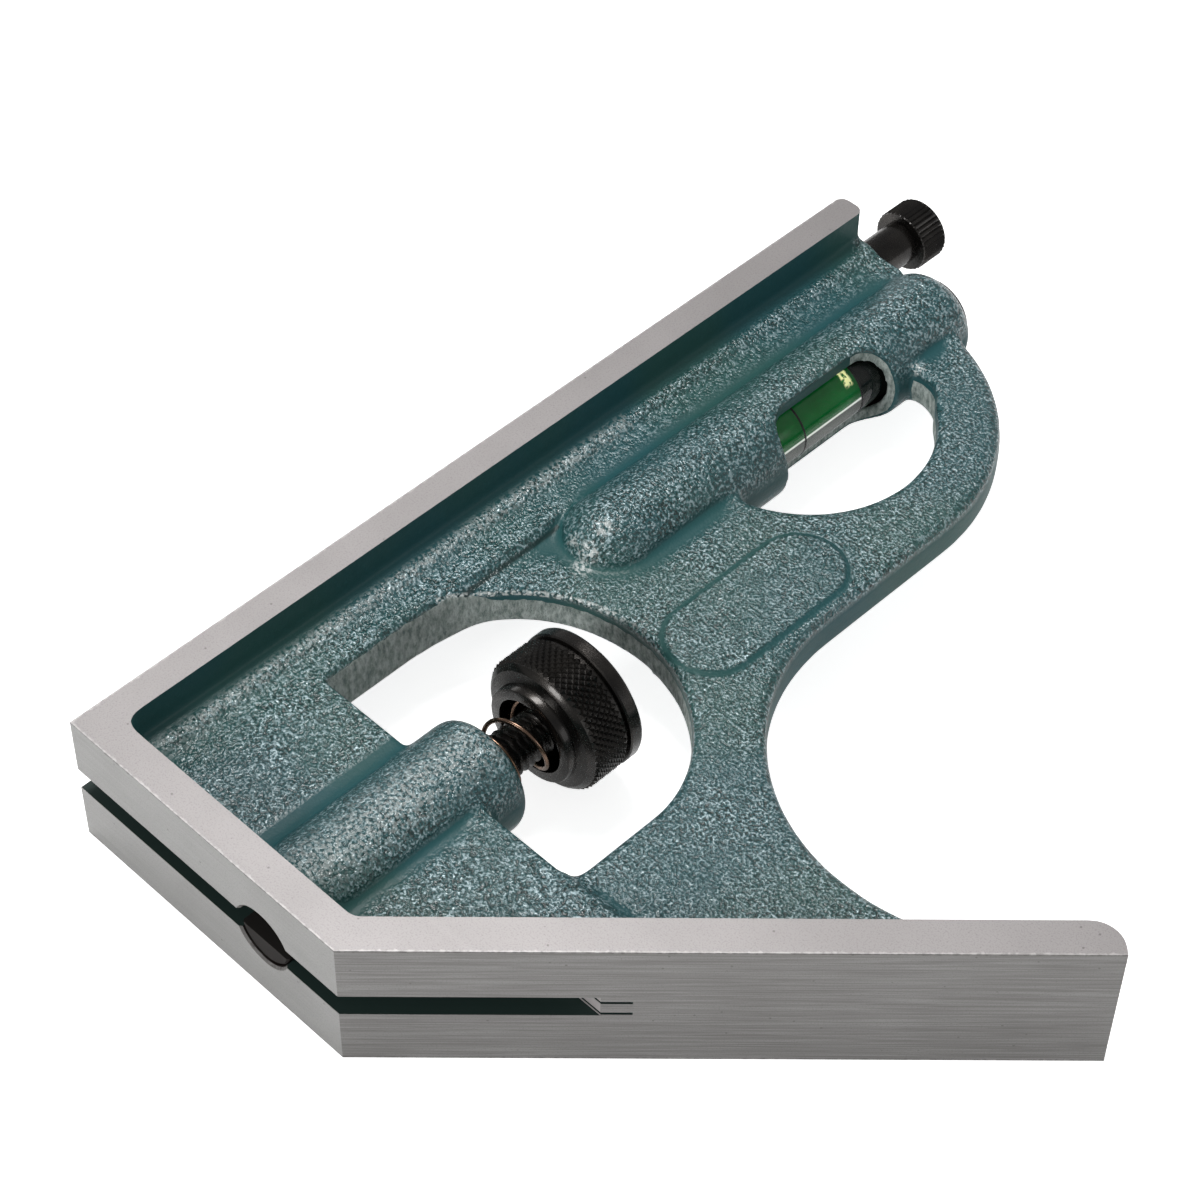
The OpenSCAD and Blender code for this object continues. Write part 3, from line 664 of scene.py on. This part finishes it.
def castingFinish():
    c, wear = {key: colour(code) for key, code in castingColours.items()}, castingWearAndPaintedLight
    material, tree, shader, spot = newMaterial("paintedCasting", Coat_Roughness=0.16, Coat_IOR=1.6, IOR=1.5,
                                               Specular_IOR_Level=0.25)
    axes = addNode(tree, "ShaderNodeSeparateXYZ", {0: spot}).outputs
    x, y, z = axes[0], axes[1], axes[2]
    across = minus(tree, x, y)
    rise = maths(tree, "ABSOLUTE", minus(tree, z, midZ))

    def away(a, b):
        return maths(tree, "ABSOLUTE", minus(tree, a, b))

    def near(value, middle, reach, full):
        # 1 within full of the middle, 0 from reach onwards
        return ramp(tree, away(value, middle), reach, full)

    def squares(u, v):
        return plus(tree, times(tree, u, u), times(tree, v, v))

    def far(x0, y0, a=x, b=y):
        return maths(tree, "SQRT", squares(minus(tree, a, x0), minus(tree, b, y0)))

    def both(first, *others):
        for other in others:
            first = times(tree, first, other)
        return first

    def under(a, b):
        return maths(tree, "LESS_THAN", a, b)

    def over(a, b):
        return maths(tree, "GREATER_THAN", a, b)

    def either(first, *others):
        for other in others:
            first = maths(tree, "MAXIMUM", first, other)
        return first

    def glintAt(centre, radius):
        gap = addNode(tree, "ShaderNodeVectorMath", {0: spot, 1: centre}, operation="DISTANCE")
        return ramp(tree, gap.outputs["Value"], radius, radius * 0.4)

    # the ground faces: both sides, the two square faces and the 45 degree face
    onSides, onMitre, onBase = over(rise, midZ - 0.04), over(across, head["base"] - 0.05), under(y, 0.04)
    onSquare = under(x, 0.04)
    ground = either(onSides, onMitre, onBase, onSquare)
    # inside the rule slot and the bores
    slotEnd = head["slotDepth"] + head["reliefDepth"] + 0.1
    slotMask = both(under(rise, head["slotWidth"] / 2 + 0.02), under(y, slotEnd))
    fromClamp = far(head["clampX"], midZ, x, z)
    fromLevel = far(head["levelX"], midZ, x, z)
    hookBore = both(under(fromClamp, head["hookBore"] + 0.03), over(y, 0.05),
                    under(y, head["clampEnd"] - 0.1))
    vialBore = both(under(fromLevel, head["vialBore"] + 0.03), over(y, head["vialBoreStart"] - 0.1))
    # the bores' near black is partly grime and partly painted shade
    boreMask = either(hookBore, vialBore)
    # bare walls of the two windows and of the level's opening
    ragged = times(tree, minus(tree, noise(tree, spot, 0.7, 3.0), 0.5), 0.7)
    lip = plus(tree, minus(tree, z, midZ), ragged)
    cx, cy, wide, tall = head["crown"]
    beyond = maths(tree, "MAXIMUM", minus(tree, y, cy), 0.0)
    crown = squares(maths(tree, "DIVIDE", minus(tree, x, cx), wide + wear["crownReach"]),
                    maths(tree, "DIVIDE", beyond, tall + wear["crownReach"]))
    nearLand = either(ramp(tree, y, *wear["landsTop"]), ramp(tree, x, *wear["landsSide"]))
    limit = blendOf(tree, nearLand, wear["paintEdge"], wear["paintEdgeNearLand"], "FLOAT")
    offBarrel = either(over(fromClamp, wear["barrel"]), over(y, wear["barrelEnd"]))
    inWindow = both(under(crown, 1.0), over(y, wear["windowFoot"]), offBarrel)
    cx, cy, radius = head["sight"]
    inSight = both(under(far(cx, cy), radius + wear["sightReach"]), over(x, wear["sightFoot"]))
    fromBarrel = plus(tree, fromLevel, times(tree, ragged, 0.4))
    inOpening = both(over(x, head["openingX"] - 0.15), over(y, head["openingStart"] - 0.2),
                     under(y, head["openingEnd"] + 0.2), under(fromBarrel, wear["openingDepth"]),
                     either(under(z, midZ), over(y, wear["openingTip"])))
    clampTip = both(under(away(y, head["clampEnd"] + 0.1), 0.4), under(fromClamp, wear["clampTip"]),
                    under(plus(tree, z, ragged), wear["tipTop"]))
    bare = either(both(inWindow, under(lip, limit)), both(inSight, under(lip, wear["paintEdge"])),
                  inOpening, clampTip)
    # the enamel is smooth, and a little darker as painted shade, in hollows, on upright walls, in a ring
    # round the pad and beside the clamp barrel
    hollow = addNode(tree, "ShaderNodeAttribute", attribute_name="hollow").outputs["Fac"]
    facing = addNode(tree, "ShaderNodeTexCoord").outputs["Normal"]
    flatness = maths(tree, "ABSOLUTE", addNode(tree, "ShaderNodeSeparateXYZ", {0: facing}).outputs[2])
    padX, padY = head["pad"]
    beyond = minus(tree, away(y, padY), (head["padLength"] - head["padWidth"]) / 2)
    fromPad = far(padX, 0, x, maths(tree, "MAXIMUM", beyond, 0.0))
    padRing = both(ramp(tree, away(fromPad, head["padWidth"] / 2), 0.5, 0.2, 0.0, 0.9), under(rise, 4))
    besideClamp = both(near(x, 24.6, 2.0, 0.9), under(y, head["clampEnd"]), under(rise, 5.2),
                       over(y, head["baseLimb"]))
    smoothAndShaded = either(ramp(tree, hollow, 0.07, 0.24), ramp(tree, flatness, 0.45, 0.15), padRing, besideClamp)
    enamel = useGroup(tree, hammered, {"Spot": spot, "Scale": wear["enamelScale"], "Body": c["body"],
                                       "Greener": c["greener"], "Fleck": c["fleck"], "PitAndShade": c["pitAndShade"],
                                       "SmoothAndShaded": smoothAndShaded})
    wall = useGroup(tree, bareCast, {"Spot": spot, "Light": c["bareLight"], "Dark": c["bareDark"]})
    # the grinding lines run along each face
    laid = covered(tree, spot, [(onMitre, laidAlong(tree, spot, 45)),
                                (onSquare, laidAlong(tree, spot, 90))], "VECTOR")
    depth = wear["lines"]
    lines = covered(tree, depth["base"], [(onSides, depth["sides"]), (onMitre, depth["mitre"])], "FLOAT")
    body = covered(tree, c["ground"], [(onBase, c["groundBase"]), (onMitre, c["groundMitre"])])
    steel = useGroup(tree, grindLines, {"Spot": laid, "Lines": lines, "Body": body,
                                        "Dark": c["groundDark"]})
    # the ground edges: a bright line round the top faces, partly burred steel and partly painted highlight,
    # and a dark nick line below it
    toMitre = times(tree, minus(tree, head["base"], across), slope)
    toEdge = maths(tree, "MINIMUM", maths(tree, "MINIMUM", x, y), toMitre)
    nicks = times(tree, minus(tree, noise(tree, spot, 1.6, 3.0), 0.5), 0.9)
    burrAndHighlight = both(onSides, ramp(tree, plus(tree, toEdge, nicks), 0.25, 0.05, 0.0, 0.35))
    nicked = both(either(onMitre, onBase, onSquare),
                  ramp(tree, plus(tree, rise, nicks), midZ - 0.2, midZ, 0.0, 0.6))
    iron = covered(tree, steel["Color"], [(burrAndHighlight, c["burrAndHighlight"]), (nicked, c["edge"])])
    mouth = both(under(fromClamp, head["hookBore"] + 0.6), under(y, 0.4))
    # painted highlights, broken up by noise: along the clamp barrel's crest, at the foot of the long limb,
    # on the rim of the window and on the dome
    onClamp = both(near(x, 32.8, 4.6, 1.2), over(rise, 4.6), under(y, head["clampEnd"]), 0.45)
    onFoot = both(near(x, 6.3, 1.4, 0.3), over(rise, 4.1), over(y, 5), under(y, 84), 0.4)
    onRim = both(near(crown, 0.985, 0.035, 0.015), over(rise, 2.1), over(y, 46), ramp(tree, x, 33, 26))
    paintedHighlight = either(onClamp, onFoot, onRim)
    for centre, radius, amount in wear["glints"]:
        paintedHighlight = either(paintedHighlight, both(glintAt(centre, radius), amount))
    paintedHighlight = both(paintedHighlight, ramp(tree, noise(tree, spot, 2.0, 2.0), 0.46, 0.58))
    # painted shade: a dark line along the inner corner where the scriber's land meets the web
    creaseX, start, end = wear["paintedCreaseShade"]
    paintedCreaseShade = both(near(x, creaseX, 0.45, 0.15), over(y, start), under(y, end),
                  over(rise, 2.6), under(rise, 4.2), 0.9)
    seat = both(slotMask, under(away(y, head["slotDepth"]), 0.05))
    cut = either(slotMask, boreMask)
    plain = either(ground, bare, cut, mouth)
    shade = covered(tree, enamel["Color"], [
        (paintedCreaseShade, c["pitAndShade"]), (paintedHighlight, c["paintedHighlight"]), (bare, wall["Color"]), (mouth, c["groundDark"]),
        (boreMask, c["bore"]), (slotMask, c["slot"]), (seat, c["ground"]), (ground, iron)])
    rough = covered(tree, enamel["Roughness"], [
        (smoothAndShaded, 0.45), (bare, 0.6), (cut, 0.5), (ground, steel["Roughness"])], "FLOAT")
    metal = covered(tree, enamel["Metal"], [(plain, 0.0), (ground, 0.6)], "FLOAT")
    height = covered(tree, enamel["Height"], [
        (bare, times(tree, wall["Height"], 1.2)), (cut, 0.0),
        (ground, times(tree, steel["Height"], 0.14))], "FLOAT")
    tree.links.new(shade, shader.inputs["Base Color"])
    tree.links.new(rough, shader.inputs["Roughness"])
    tree.links.new(metal, shader.inputs["Metallic"])
    tree.links.new(blendOf(tree, either(plain, smoothAndShaded), 1.0, 0.05, "FLOAT"), shader.inputs["Coat Weight"])
    uneven = bump(tree, height, 1.0, 0.0004)
    tree.links.new(uneven, shader.inputs["Normal"])
    tree.links.new(uneven, shader.inputs["Coat Normal"])
    return material


# Finishes of the small pieces

def plainMetal(name, body, wear, roughness, metallic=1.0, oil=0.0, dullShadedTo=None):
    material, tree, shader, spot = newMaterial(name, Metallic=metallic, Coat_Weight=oil,
                                               Coat_Roughness=0.14)
    cloud = noise(tree, spot, 0.3, 3.0)
    fine = noise(tree, spot, 4.8, 3.0)
    tint = blendOf(tree, ramp(tree, cloud, 0.35, 0.7), colour(body), colour(wear))
    rough = ramp(tree, fine, 0.3, 0.7, roughness - 0.06, roughness + 0.08)
    if dullShadedTo is not None:
        # the end that sits in its bore is rough and matt, and near black as painted shade
        y = addNode(tree, "ShaderNodeSeparateXYZ", {0: spot}).outputs[1]
        dullShaded = ramp(tree, y, dullShadedTo + 0.5, dullShadedTo - 0.5)
        tint = blendOf(tree, dullShaded, tint, colour("#15100d"))
        rough = blendOf(tree, dullShaded, rough, 0.8, "FLOAT")
        tree.links.new(blendOf(tree, dullShaded, metallic, 0.0, "FLOAT"), shader.inputs["Metallic"])
        tree.links.new(blendOf(tree, dullShaded, oil, 0.0, "FLOAT"), shader.inputs["Coat Weight"])
    tree.links.new(tint, shader.inputs["Base Color"])
    tree.links.new(rough, shader.inputs["Roughness"])
    tree.links.new(bump(tree, fine, 0.25, 0.00005), shader.inputs["Normal"])
    return material


# The hook clamp

clamp = {
    "x": 32,
    "hookStart": 0.4, "hookEnd": 14, "hookRadius": 3.95, "hookEdge": 0.25,
    "lip": 2.4, "flat": 8.3, "lipTop": 9.2,
    "stemEnd": 50, "threadStart": 24, "thread": 3.0, "threadRoot": 2.45, "pitch": 1.0, "threadSides": 48,
    "nut": 41.4, "nutLength": 10.5, "nutRadius": 9.2, "collar": 6.6, "collarLength": 1.3,
    "knurl": 43.6, "knurlWidth": 5.2, "knurlCount": 56, "knurlRows": 5, "knurlDepth": 0.42,
    "recess": 5.1, "recessDepth": 5.1, "nutBore": 3.05,
    "springStart": 34.9, "springEnd": 46.4, "springRadius": 4.1, "wire": 0.6, "openTurns": 2,
    "springTurn": 0.077,                       # where on the circle the wire starts
}


def makeBolt(material):
    c = clamp
    bolt = turned("clampBolt", c["x"], [(c["hookStart"], c["hookRadius"] - c["hookEdge"]),
                                        (c["hookStart"] + c["hookEdge"], c["hookRadius"]),
                                        (c["hookEnd"] - c["hookEdge"], c["hookRadius"]),
                                        (c["hookEnd"], c["hookRadius"] - c["hookEdge"])], 96)
    side = c["hookRadius"] + 1
    combine(bolt, block("hookFlat", (c["x"] - side, c["hookStart"] + c["lip"], c["flat"]),
                        (c["x"] + side, c["hookEnd"] + 1, midZ + side)), "DIFFERENCE")
    combine(bolt, block("lipTop", (c["x"] - side, c["hookStart"] - 1, c["lipTop"]),
                        (c["x"] + side, c["hookStart"] + c["lip"] + 1, midZ + side)), "DIFFERENCE")
    rows, y = [(c["hookEnd"] - 0.5, c["thread"]), (c["threadStart"], c["thread"])], c["threadStart"]
    while y < c["stemEnd"] - 0.9:
        y += c["pitch"] / 8
        rows.append((y, c["thread"]))
    rows += [(c["stemEnd"] - 0.5, c["thread"] - 0.15), (c["stemEnd"], c["thread"] - 0.6)]
    stem = turned("threadedStem", c["x"], rows, c["threadSides"])

    def threadRadius(y, turn, r):
        runIn = min(1, max(0, (y - c["threadStart"]) / 1.5))
        wave = abs(2 * ((y / c["pitch"] + turn / (2 * math.pi)) % 1) - 1)
        cut = (c["thread"] - c["threadRoot"]) * min(1, max(0, 1.25 * wave - 0.12)) * runIn
        return min(r, c["thread"] - cut)

    reshape(stem, c["x"], threadRadius)
    combine(bolt, stem, "UNION")
    finishPiece(bolt, "bolt", material, 30)
    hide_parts("clamp_bolt")
    print("bolt:", len(bolt.data.polygons), "faces")


def makeNut(material):
    c = clamp
    start, end, core = c["nut"], c["nut"] + c["nutLength"], c["nutRadius"] - c["knurlDepth"]
    knurl, knurlEnd = c["knurl"], c["knurl"] + c["knurlWidth"]
    rows = [(start, c["collar"] - 0.35), (start + 0.08, c["collar"] - 0.1), (start + 0.3, c["collar"]),
            (start + c["collarLength"], c["collar"]), (start + c["collarLength"] + 0.12, c["collar"] + 0.3),
            (start + c["collarLength"] + 0.3, core - 0.7), (knurl - 0.25, core - 0.2)]
    rows += [(knurl + c["knurlWidth"] * k / c["knurlRows"], core) for k in range(c["knurlRows"] + 1)]
    rim = c["nutRadius"]
    rows += [(knurlEnd + 0.12, core - 0.3), (knurlEnd + 0.35, core - 0.3), (knurlEnd + 0.45, rim - 0.15),
             (knurlEnd + 0.65, rim), (end - 1.1, rim), (end - 0.85, rim - 0.12), (end - 0.15, rim - 1.3),
             (end, rim - 1.6)]
    nut = turned("clampNut", c["x"], rows, c["knurlCount"])
    # the knurl: each face of the band is split about its middle, the first edges
    # go, and the diamonds that are left are raised to points
    column = c["knurlWidth"] / c["knurlRows"]
    spanned = 2 * math.pi * core / c["knurlCount"]
    largest = 1.4 * column * spanned * mm * mm

    def inBand(p):
        return knurl - 0.01 < p.y < knurlEnd + 0.01

    def isCorner(p):
        row = (p.y - knurl) / column
        return abs(row - round(row)) < 0.05

    def isFirstEdge(a, b):
        onEnd = abs(a.y - b.y) < 0.01 and (a.y < knurl + 0.01 or a.y > knurlEnd - 0.01)
        return isCorner(a) and isCorner(b) and inBand(a) and inBand(b) and not onEnd

    pickEdges(nut, lambda a, b: inBand(a) and inBand(b))
    bpy.ops.mesh.select_mode(type="FACE")
    bpy.ops.mesh.poke(offset=0)
    leaveEdit()
    pickEdges(nut, isFirstEdge)
    bpy.ops.mesh.dissolve_edges(use_verts=False)
    leaveEdit()
    for part in (nut.data.vertices, nut.data.edges):
        for p in part:
            p.select = False
    for face in nut.data.polygons:
        middle = face.center / mm + cornerAt
        out = math.hypot(middle.x - c["x"], middle.z - midZ)
        onBand = knurl < middle.y < knurlEnd and abs(out - core) < 0.3
        face.select = onBand and len(face.vertices) == 4 and face.area < largest
    bpy.ops.object.mode_set(mode="EDIT")
    bpy.ops.mesh.select_mode(type="FACE")
    bpy.ops.mesh.poke(offset=c["knurlDepth"] * mm)
    leaveEdit()
    combine(nut, bar("nutRecess", c["x"], start - 1, start + c["recessDepth"], c["recess"]), "DIFFERENCE")
    combine(nut, bar("nutBore", c["x"], start + 1, end + 1, c["nutBore"]), "DIFFERENCE")
    finishPiece(nut, "nut", material, 25)
    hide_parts("clamp_nut")
    print("nut:", len(nut.data.polygons), "faces")


def makeSpring(material):
    c = clamp
    turns, steps, wire = c["openTurns"] + 2, 32, c["wire"]
    openPitch = (c["springEnd"] - c["springStart"] - 3 * wire) / c["openTurns"]
    bpy.ops.object.select_all(action="DESELECT")
    bpy.ops.curve.primitive_nurbs_path_add(location=(0, 0, 0))
    spring = bpy.context.object
    spring.name = spring.data.name = "clampSpring"
    spring.data.splines.clear()
    line = spring.data.splines.new("POLY")
    line.points.add(turns * steps)
    for k, point in enumerate(line.points):
        t = k / steps
        # the first and the last turn are closed
        closed, opened = min(t, 1) + max(t - turns + 1, 0), min(max(t - 1, 0), c["openTurns"])
        y = c["springStart"] + wire / 2 + closed * wire + opened * openPitch
        a = 2 * math.pi * (t + c["springTurn"])
        at = place(c["x"] + c["springRadius"] * math.cos(a), y, midZ - c["springRadius"] * math.sin(a))
        point.co = (*at, 1)
    spring.data.dimensions = "3D"
    spring.data.bevel_depth = wire / 2 * mm
    spring.data.bevel_resolution = 4
    spring.data.use_fill_caps = True
    only(spring)
    bpy.ops.object.convert(target="MESH")
    spring = bpy.context.object
    editAll(spring)
    bpy.ops.mesh.remove_doubles(threshold=1e-6)
    bpy.ops.mesh.normals_make_consistent(inside=False)
    leaveEdit()
    bpy.ops.object.shade_smooth_by_angle(angle=math.radians(50))
    spring.data.materials.clear()
    spring.data.materials.append(material)
    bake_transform(spring)
    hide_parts("clamp_spring")
    print("spring:", len(spring.data.polygons), "faces")


# The scriber

scriber = {
    "x": 4.6, "shankStart": 108.9, "shank": 2.95, "knobStart": 138.9, "knobEnd": 143.4,
    "knob": 4.4, "ridges": 36, "ridgeDepth": 0.32, "chamfer": 0.2, "needle": 1.25, "needleSeat": 10,
}


def makeKnob(material):
    c = scriber
    start, end, r, cut = c["knobStart"], c["knobEnd"], c["knob"], c["chamfer"]
    foot, shank = c["shankStart"], c["shank"]
    rows = [(foot, shank - 0.2), (foot + 0.2, shank), (start, shank), (start, r - cut - 0.5),
            (start + 0.04, r - cut), (start + cut, r - 0.05), (start + cut + 0.06, r),
            (end - cut - 0.06, r), (end - cut, r - 0.05), (end - 0.04, r - cut), (end, r - cut - 0.5)]
    knob = turned("scriberKnob", c["x"], rows, c["ridges"] * 4)
    bandLow, bandHigh = start + cut + 0.05, end - cut - 0.05

    def ridgeRadius(y, turn, radius):
        if radius < r - 0.1:
            return radius
        wave = 0.5 - 0.5 * math.cos(c["ridges"] * turn)
        depth = c["ridgeDepth"] if bandLow < y < bandHigh else c["ridgeDepth"] * 0.5
        return radius - depth * wave

    reshape(knob, c["x"], ridgeRadius)
    seat = bar("needleSeat", c["x"], foot - 1, foot + c["needleSeat"], c["needle"], sides=48)
    combine(knob, seat, "DIFFERENCE")
    finishPiece(knob, "scriber", material, 30)
    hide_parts("scriber_knob")
    print("knob:", len(knob.data.polygons), "faces")


# The spirit level

level = {
    "x": 17.4, "start": 85.3, "length": 40, "radius": 4.5, "edge": 1.5, "inside": 3.6,
    "overlap": 0.03,                           # how far the spirit goes into the glass
    "bubbleStart": 110.0, "bubbleLength": 9, "bubbleRadius": 2.232,
    "lines": (100.7, 111.6), "lineWidth": 0.3,
    "darkFrom": 111.8, "glint": (109.7, 111.3),
}
# the spirit's base colour and its glow at each place
spiritColours = {
    "green": ("#0c742c", "#178a3d"), "greenGlow": "#002f10",
    # the glint and the line are painted highlights, below is the wall's grey painted as a reflection, and
    # the near black is painted shade
    "glint": "#d9dca0", "dark": "#050706",
    "below": "#6a6f6b", "belowGlow": "#1c201e",
    "line": "#eef0ea", "lineGlow": "#b8bdb6",
}


def vialGlass():
    glass, tree, shader, spot = newMaterial("vialGlass", Transmission_Weight=1.0, IOR=1.5)
    tree.links.new(ramp(tree, noise(tree, spot, 0.8), 0.3, 0.7, 0.0, 0.03), shader.inputs["Roughness"])
    return glass


def greenSpirit():
    material, tree, shader, spot = newMaterial("greenSpirit", IOR=1.36, Transmission_Weight=0.2,
                                               Emission_Strength=1.0)
    c = spiritColours
    x, y, z = addNode(tree, "ShaderNodeSeparateXYZ", {0: spot}).outputs
    # a glint at the end of the tube
    start, end = level["glint"]
    glint = times(tree, ramp(tree, y, start, start + 0.3), ramp(tree, y, end, end - 0.3))
    glint = times(tree, glint, ramp(tree, noise(tree, spot, 1.6), 0.42, 0.5))
    glint = times(tree, glint, ramp(tree, z, midZ + 2.2, midZ + 2.6))
    # a painted highlight line along the tube's side, and under it the grey of the wall painted on the
    # spirit as a reflection, both glowing; and the far end near black as painted shade
    onSide = maths(tree, "GREATER_THAN", x, level["x"])
    below = times(tree, onSide, ramp(tree, z, midZ + 0.12, midZ + 0.02))
    line = maths(tree, "ABSOLUTE", minus(tree, z, midZ + 0.25))
    line = times(tree, onSide, ramp(tree, line, 0.2, 0.12))
    dark = ramp(tree, y, level["darkFrom"], level["darkFrom"] + 0.15)
    deep, light = c["green"]
    green = blendOf(tree, ramp(tree, noise(tree, spot, 0.3), 0.3, 0.7), colour(deep), colour(light))
    greenGlow = colour(c["greenGlow"])
    for target, base, glow in (("Base Color", green, ""), ("Emission Color", greenGlow, "Glow")):
        tint = covered(tree, base, [
            (glint, colour(c["glint"])), (below, colour(c["below" + glow])),
            (line, colour(c["line" + glow])), (dark, colour(c["dark"]))])
        tree.links.new(tint, shader.inputs[target])
    tree.links.new(ramp(tree, noise(tree, spot, 0.8), 0.3, 0.7, 0.02, 0.06), shader.inputs["Roughness"])
    return material


def roundedRows(start, length, radius, edge, steps=6):
    # Rows for turned, for a rod with rounded ends.
    rows = []
    for k in range(steps + 1):
        a = math.pi / 2 * k / steps
        rows.append((start + edge - edge * math.cos(a), radius - edge + edge * math.sin(a)))
    return rows + [(2 * start + length - y, r) for y, r in reversed(rows)]


def makeVial(glass, spirit, ink):
    c = level
    wall, more = c["edge"], c["overlap"]
    tube = turned("vialTube", c["x"], roundedRows(c["start"], c["length"], c["radius"], c["edge"]), 96)
    rows = roundedRows(c["start"] + wall, c["length"] - 2 * wall, c["inside"], 0.3, 2)
    combine(tube, turned("vialBore", c["x"], rows, 96), "DIFFERENCE")
    finishPiece(tube, "head", glass, 30)
    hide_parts("vial_tube")
    wall -= more
    rows = roundedRows(c["start"] + wall, c["length"] - 2 * wall, c["inside"] + more, 0.3, 2)
    liquid = turned("vialSpirit", c["x"], rows, 96)
    r = c["bubbleRadius"]
    rows = roundedRows(c["bubbleStart"] - r, c["bubbleLength"], r - 0.001, r - 0.01, 8)
    bubble = turned("bubble", c["x"], rows, 48)
    bubble.data.transform(Matrix.Translation((0, 0, (c["inside"] - r) * mm)))  # up against the glass
    combine(liquid, bubble, "DIFFERENCE")
    finishPiece(liquid, "head", spirit, 30)
    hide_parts("vial_liquid")
    half, out = c["lineWidth"] / 2, c["radius"] + 0.03
    for number, y in enumerate(c["lines"], 1):
        first, last = y - half, y + half
        rows = [(first, out - 0.02), (first + 0.02, out), (last - 0.02, out), (last, out - 0.02)]
        ring = turned("vialLine" + str(number), c["x"], rows, 64)
        combine(ring, bar("lineBore", c["x"], y - 1, y + 1, out - 0.07, sides=64), "DIFFERENCE")
        finishPiece(ring, "head", ink, 30)
    print("vial and its lines")


# All the small pieces, and the solids that show as they are

finishes = {
    # name: colour, colour where it is worn, roughness, how metallic, and more
    "blackOxide": dict(body="#242221", wear="#3a3734", roughness=0.28, metallic=0.85, oil=0.4),
    "boltOxideShadedEnd": dict(body="#242221", wear="#3a3734", roughness=0.28, metallic=0.85, oil=0.4, dullShadedTo=15),
    "springWire": dict(body="#8c7364", wear="#63503f", roughness=0.24),
    "needleSteel": dict(body="#a9a9a7", wear="#8f8f8d", roughness=0.25),
    "turnedBrass": dict(body="#c9a04a", wear="#a98538", roughness=0.3),
    "plugSteel": dict(body="#6d6f70", wear="#4c4e50", roughness=0.4),
    "setPlaster": dict(body="#d8d4c8", wear="#bdb8aa", roughness=0.9, metallic=0.0),
    "lineInk": dict(body="#0a0a0a", wear="#141414", roughness=0.5, metallic=0.0),
}
plainSolids = {
    "scriber_needle": "needleSteel", "scriber_bushing": "turnedBrass", "vial_plug": "plugSteel",
    "vial_plaster_near": "setPlaster", "vial_plaster_far": "setPlaster",
}


def dressAll():
    made = {name: plainMetal(name, **values) for name, values in finishes.items()}
    makeBolt(made["boltOxideShadedEnd"])
    makeNut(made["blackOxide"])
    makeSpring(made["springWire"])
    makeKnob(made["blackOxide"])
    makeVial(vialGlass(), greenSpirit(), made["lineInk"])
    for node, finish in plainSolids.items():
        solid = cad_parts[node]
        solid.data.materials.clear()
        solid.data.materials.append(made[finish])
    print("finishes are on")


makeStudio()
makeHead()
dressAll()
